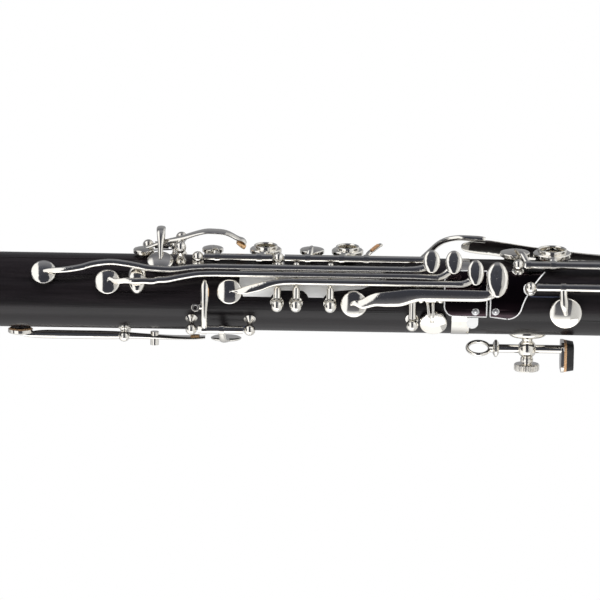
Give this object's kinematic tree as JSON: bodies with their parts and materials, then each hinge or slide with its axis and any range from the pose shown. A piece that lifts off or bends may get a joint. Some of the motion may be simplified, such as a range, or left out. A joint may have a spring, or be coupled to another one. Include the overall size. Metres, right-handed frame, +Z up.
{
  "type": "bass clarinet",
  "caption": "Upright bass clarinet to low E flat: two dark wooden joints with silver-plated keywork, curved neck with mouthpiece, upturned metal bell and a floor peg.",
  "frame": {"origin": "tip of the floor peg, on the axis of the wooden joints", "axes": "+Z up the instrument towards the neck, -Y the front with the finger holes, +Y towards the player, -X the player's right hand side"},
  "size_m": [0.129, 0.3745, 1.0272],
  "materials": {
    "grenadilla": "oiled satin",
    "cork": "matte",
    "ebonite": "polished",
    "cane": "raw",
    "thumb_pad": "matte",
    "rubber_tip": "matte",
    "bladder_pad": "thin skin over felt",
    "steel_rod": "turned",
    "blued_steel": "blued",
    "plated_brass": "silver plated, polished",
    "silver_plate": "silver plated, polished"
  },
  "bodies": {
    "instrument": {"upper_joint": "grenadilla", "lower_joint": "grenadilla", "tenon_rings": "silver_plate", "tenon_corks": "cork", "bell": "plated_brass", "peg_holder": "silver_plate", "posts": "silver_plate", "hinge_rods": "steel_rod", "body_plates": "silver_plate", "guide_screws": "steel_rod", "thumb_rest_base": "silver_plate", "needle_springs": "blued_steel"},
    "neck": {"neck_tube": "plated_brass", "neck_corks": "cork"},
    "mouthpiece": {"mouthpiece": "ebonite", "reed": "cane", "ligature": "silver_plate", "ligature_screws": "silver_plate"},
    "floor_peg": {"floor_peg": "silver_plate", "peg_tip": "rubber_tip"},
    "peg_screw": {"peg_screw": "silver_plate"},
    "thumb_hook": {"thumb_rest_rod": "silver_plate", "thumb_rest_cork": "thumb_pad"},
    "thumb_rest_screw": {"thumb_rest_screw": "silver_plate"},
    "register_key": {"register_key": "silver_plate", "register_pad": "cork"},
    "thumb_key": {"thumb_key": "silver_plate"},
    "throat_a_key": {"throat_a_key": "silver_plate", "throat_a_pad": "bladder_pad"},
    "throat_gs_key": {"throat_gs_key": "silver_plate", "throat_gs_pad": "bladder_pad"},
    "lh_key_1": {"lh_key_1": "silver_plate", "lh_pads_1": "bladder_pad"},
    "lh_key_2": {"lh_key_2": "silver_plate", "lh_pads_2": "bladder_pad"},
    "trill_key_1": {"trill_key_1": "silver_plate", "trill_pad_1": "bladder_pad"},
    "trill_key_2": {"trill_key_2": "silver_plate", "trill_pad_2": "bladder_pad"},
    "trill_key_3": {"trill_key_3": "silver_plate", "trill_pad_3": "bladder_pad"},
    "trill_key_4": {"trill_key_4": "silver_plate", "trill_pad_4": "bladder_pad"},
    "cs_key": {"cs_key": "silver_plate", "cs_pad": "bladder_pad"},
    "little_finger_crook": {"little_finger_crook": "silver_plate"},
    "rh_key_1": {"rh_key_1": "silver_plate", "rh_pads_1": "bladder_pad"},
    "rh_key_2": {"rh_key_2": "silver_plate", "rh_pad_2": "bladder_pad"},
    "rh_key_3": {"rh_key_3": "silver_plate", "rh_pad_3": "bladder_pad"},
    "side_key": {"side_key": "silver_plate", "side_pad": "bladder_pad"},
    "little_finger_lever": {"little_finger_lever": "silver_plate", "little_finger_pad": "bladder_pad"},
    "low_f_key": {"low_f_key": "silver_plate", "low_f_pad": "bladder_pad"},
    "low_e_key": {"low_e_key": "silver_plate", "low_e_pad": "bladder_pad"}
  },
  "joints": [
    {"name": "neck_slide", "type": "slide", "parent": "instrument", "child": "neck", "axis": [0, 0, 1], "range_m": [0, 0.01]},
    {"name": "mouthpiece_slide", "type": "slide", "parent": "neck", "child": "mouthpiece", "axis": [0, 0.9511, 0.309], "range_m": [0, 0.006]},
    {"name": "peg_slide", "type": "slide", "parent": "instrument", "child": "floor_peg", "axis": [0, 0, 1], "range_m": [-0.012, 0.01]},
    {"name": "peg_screw_turn", "type": "hinge", "parent": "instrument", "child": "peg_screw", "pos_m": [0, -0.012, 0.087], "axis": [0, -1, 0], "continuous": true},
    {"name": "thumb_hook_slide", "type": "slide", "parent": "instrument", "child": "thumb_hook", "axis": [0, 0, 1], "range_m": [-0.006, 0.006]},
    {"name": "thumb_rest_screw_turn", "type": "hinge", "parent": "instrument", "child": "thumb_rest_screw", "pos_m": [0, 0.03, 0.5792], "axis": [0, 1, 0], "continuous": true},
    {"name": "register_key_hinge", "type": "hinge", "parent": "instrument", "child": "register_key", "pos_m": [0, 0.0209, 0.7786], "axis": [-1, 0, 0], "range_deg": [0, 4], "stiffness_Nm_per_rad": 0.004, "springref_deg": -34.38},
    {"name": "thumb_key_hinge", "type": "hinge", "parent": "instrument", "child": "thumb_key", "pos_m": [-0.02147, 0.01448, 0.73], "axis": [0, 0, 1], "range_deg": [-3, 0], "stiffness_Nm_per_rad": 0.004, "springref_deg": 34.38},
    {"name": "throat_a_key_hinge", "type": "hinge", "parent": "instrument", "child": "throat_a_key", "pos_m": [-0.00221, -0.0253, 0.7512], "axis": [0.9962, -0.0872, 0], "range_deg": [0, 5], "stiffness_Nm_per_rad": 0.004, "springref_deg": -34.38},
    {"name": "throat_gs_key_hinge", "type": "hinge", "parent": "instrument", "child": "throat_gs_key", "pos_m": [0.01304, -0.02086, 0.7611], "axis": [0, 0, 1], "range_deg": [0, 6], "stiffness_Nm_per_rad": 0.004, "springref_deg": -34.38},
    {"name": "lh_key_1_hinge", "type": "hinge", "parent": "instrument", "child": "lh_key_1", "pos_m": [-0.01042, -0.0196, 0.722], "axis": [0, 0, 1], "range_deg": [0, 4], "stiffness_Nm_per_rad": 0.004, "springref_deg": -34.38},
    {"name": "lh_key_2_hinge", "type": "hinge", "parent": "instrument", "child": "lh_key_2", "pos_m": [-0.01042, -0.0196, 0.666], "axis": [0, 0, 1], "range_deg": [0, 4], "stiffness_Nm_per_rad": 0.004, "springref_deg": -34.38},
    {"name": "trill_key_1_hinge", "type": "hinge", "parent": "instrument", "child": "trill_key_1", "pos_m": [-0.0181, -0.01045, 0.7034], "axis": [0.5, -0.866, 0], "range_deg": [0, 1.6], "stiffness_Nm_per_rad": 0.004, "springref_deg": -34.38},
    {"name": "trill_key_2_hinge", "type": "hinge", "parent": "instrument", "child": "trill_key_2", "pos_m": [-0.0181, -0.01045, 0.6941], "axis": [0.5, -0.866, 0], "range_deg": [0, 1.8], "stiffness_Nm_per_rad": 0.004, "springref_deg": -34.38},
    {"name": "trill_key_3_hinge", "type": "hinge", "parent": "instrument", "child": "trill_key_3", "pos_m": [-0.0181, -0.01045, 0.6773], "axis": [0.5, -0.866, 0], "range_deg": [0, 2.2], "stiffness_Nm_per_rad": 0.004, "springref_deg": -34.38},
    {"name": "trill_key_4_hinge", "type": "hinge", "parent": "instrument", "child": "trill_key_4", "pos_m": [-0.021, 0, 0.6369], "axis": [0, -1, 0], "range_deg": [0, 3.5], "stiffness_Nm_per_rad": 0.004, "springref_deg": -34.38},
    {"name": "cs_key_hinge", "type": "hinge", "parent": "instrument", "child": "cs_key", "pos_m": [-0.02032, -0.00178, 0.628], "axis": [0, 0, 1], "range_deg": [0, 10], "stiffness_Nm_per_rad": 0.002, "springref_deg": -34.38},
    {"name": "little_finger_crook_hinge", "type": "hinge", "parent": "instrument", "child": "little_finger_crook", "pos_m": [0.02026, -0.0117, 0.637], "axis": [0, 0, 1], "range_deg": [-8, 0], "stiffness_Nm_per_rad": 0.002, "springref_deg": 34.38},
    {"name": "rh_key_1_hinge", "type": "hinge", "parent": "instrument", "child": "rh_key_1", "pos_m": [-0.01414, -0.01877, 0.563], "axis": [0, 0, 1], "range_deg": [0, 4], "stiffness_Nm_per_rad": 0.004, "springref_deg": -34.38},
    {"name": "rh_key_2_hinge", "type": "hinge", "parent": "instrument", "child": "rh_key_2", "pos_m": [-0.01414, -0.01877, 0.52], "axis": [0, 0, 1], "range_deg": [0, 4], "stiffness_Nm_per_rad": 0.004, "springref_deg": -34.38},
    {"name": "rh_key_3_hinge", "type": "hinge", "parent": "instrument", "child": "rh_key_3", "pos_m": [-0.01414, -0.01877, 0.48], "axis": [0, 0, 1], "range_deg": [0, 4], "stiffness_Nm_per_rad": 0.004, "springref_deg": -34.38},
    {"name": "side_key_hinge", "type": "hinge", "parent": "instrument", "child": "side_key", "pos_m": [-0.02217, -0.00918, 0.55], "axis": [0, 0, 1], "range_deg": [0, 6], "stiffness_Nm_per_rad": 0.004, "springref_deg": -34.38},
    {"name": "little_finger_lever_hinge", "type": "hinge", "parent": "instrument", "child": "little_finger_lever", "pos_m": [0.01907, -0.0149, 0.502], "axis": [0.6157, 0.788, 0], "range_deg": [-3, 0], "stiffness_Nm_per_rad": 0.004, "springref_deg": 34.38},
    {"name": "low_f_key_hinge", "type": "hinge", "parent": "instrument", "child": "low_f_key", "pos_m": [-0.01966, -0.01377, 0.41], "axis": [0, 0, 1], "range_deg": [-6, 0], "stiffness_Nm_per_rad": 0.004, "springref_deg": 34.38},
    {"name": "low_e_key_hinge", "type": "hinge", "parent": "instrument", "child": "low_e_key", "pos_m": [0.01508, -0.01931, 0.35], "axis": [0, 0, 1], "range_deg": [0, 6], "stiffness_Nm_per_rad": 0.004, "springref_deg": -34.38}
  ],
  "couplings": [
    {"joint": "cs_key_hinge", "follows": "little_finger_crook_hinge", "ratio": -1.25}
  ]
}
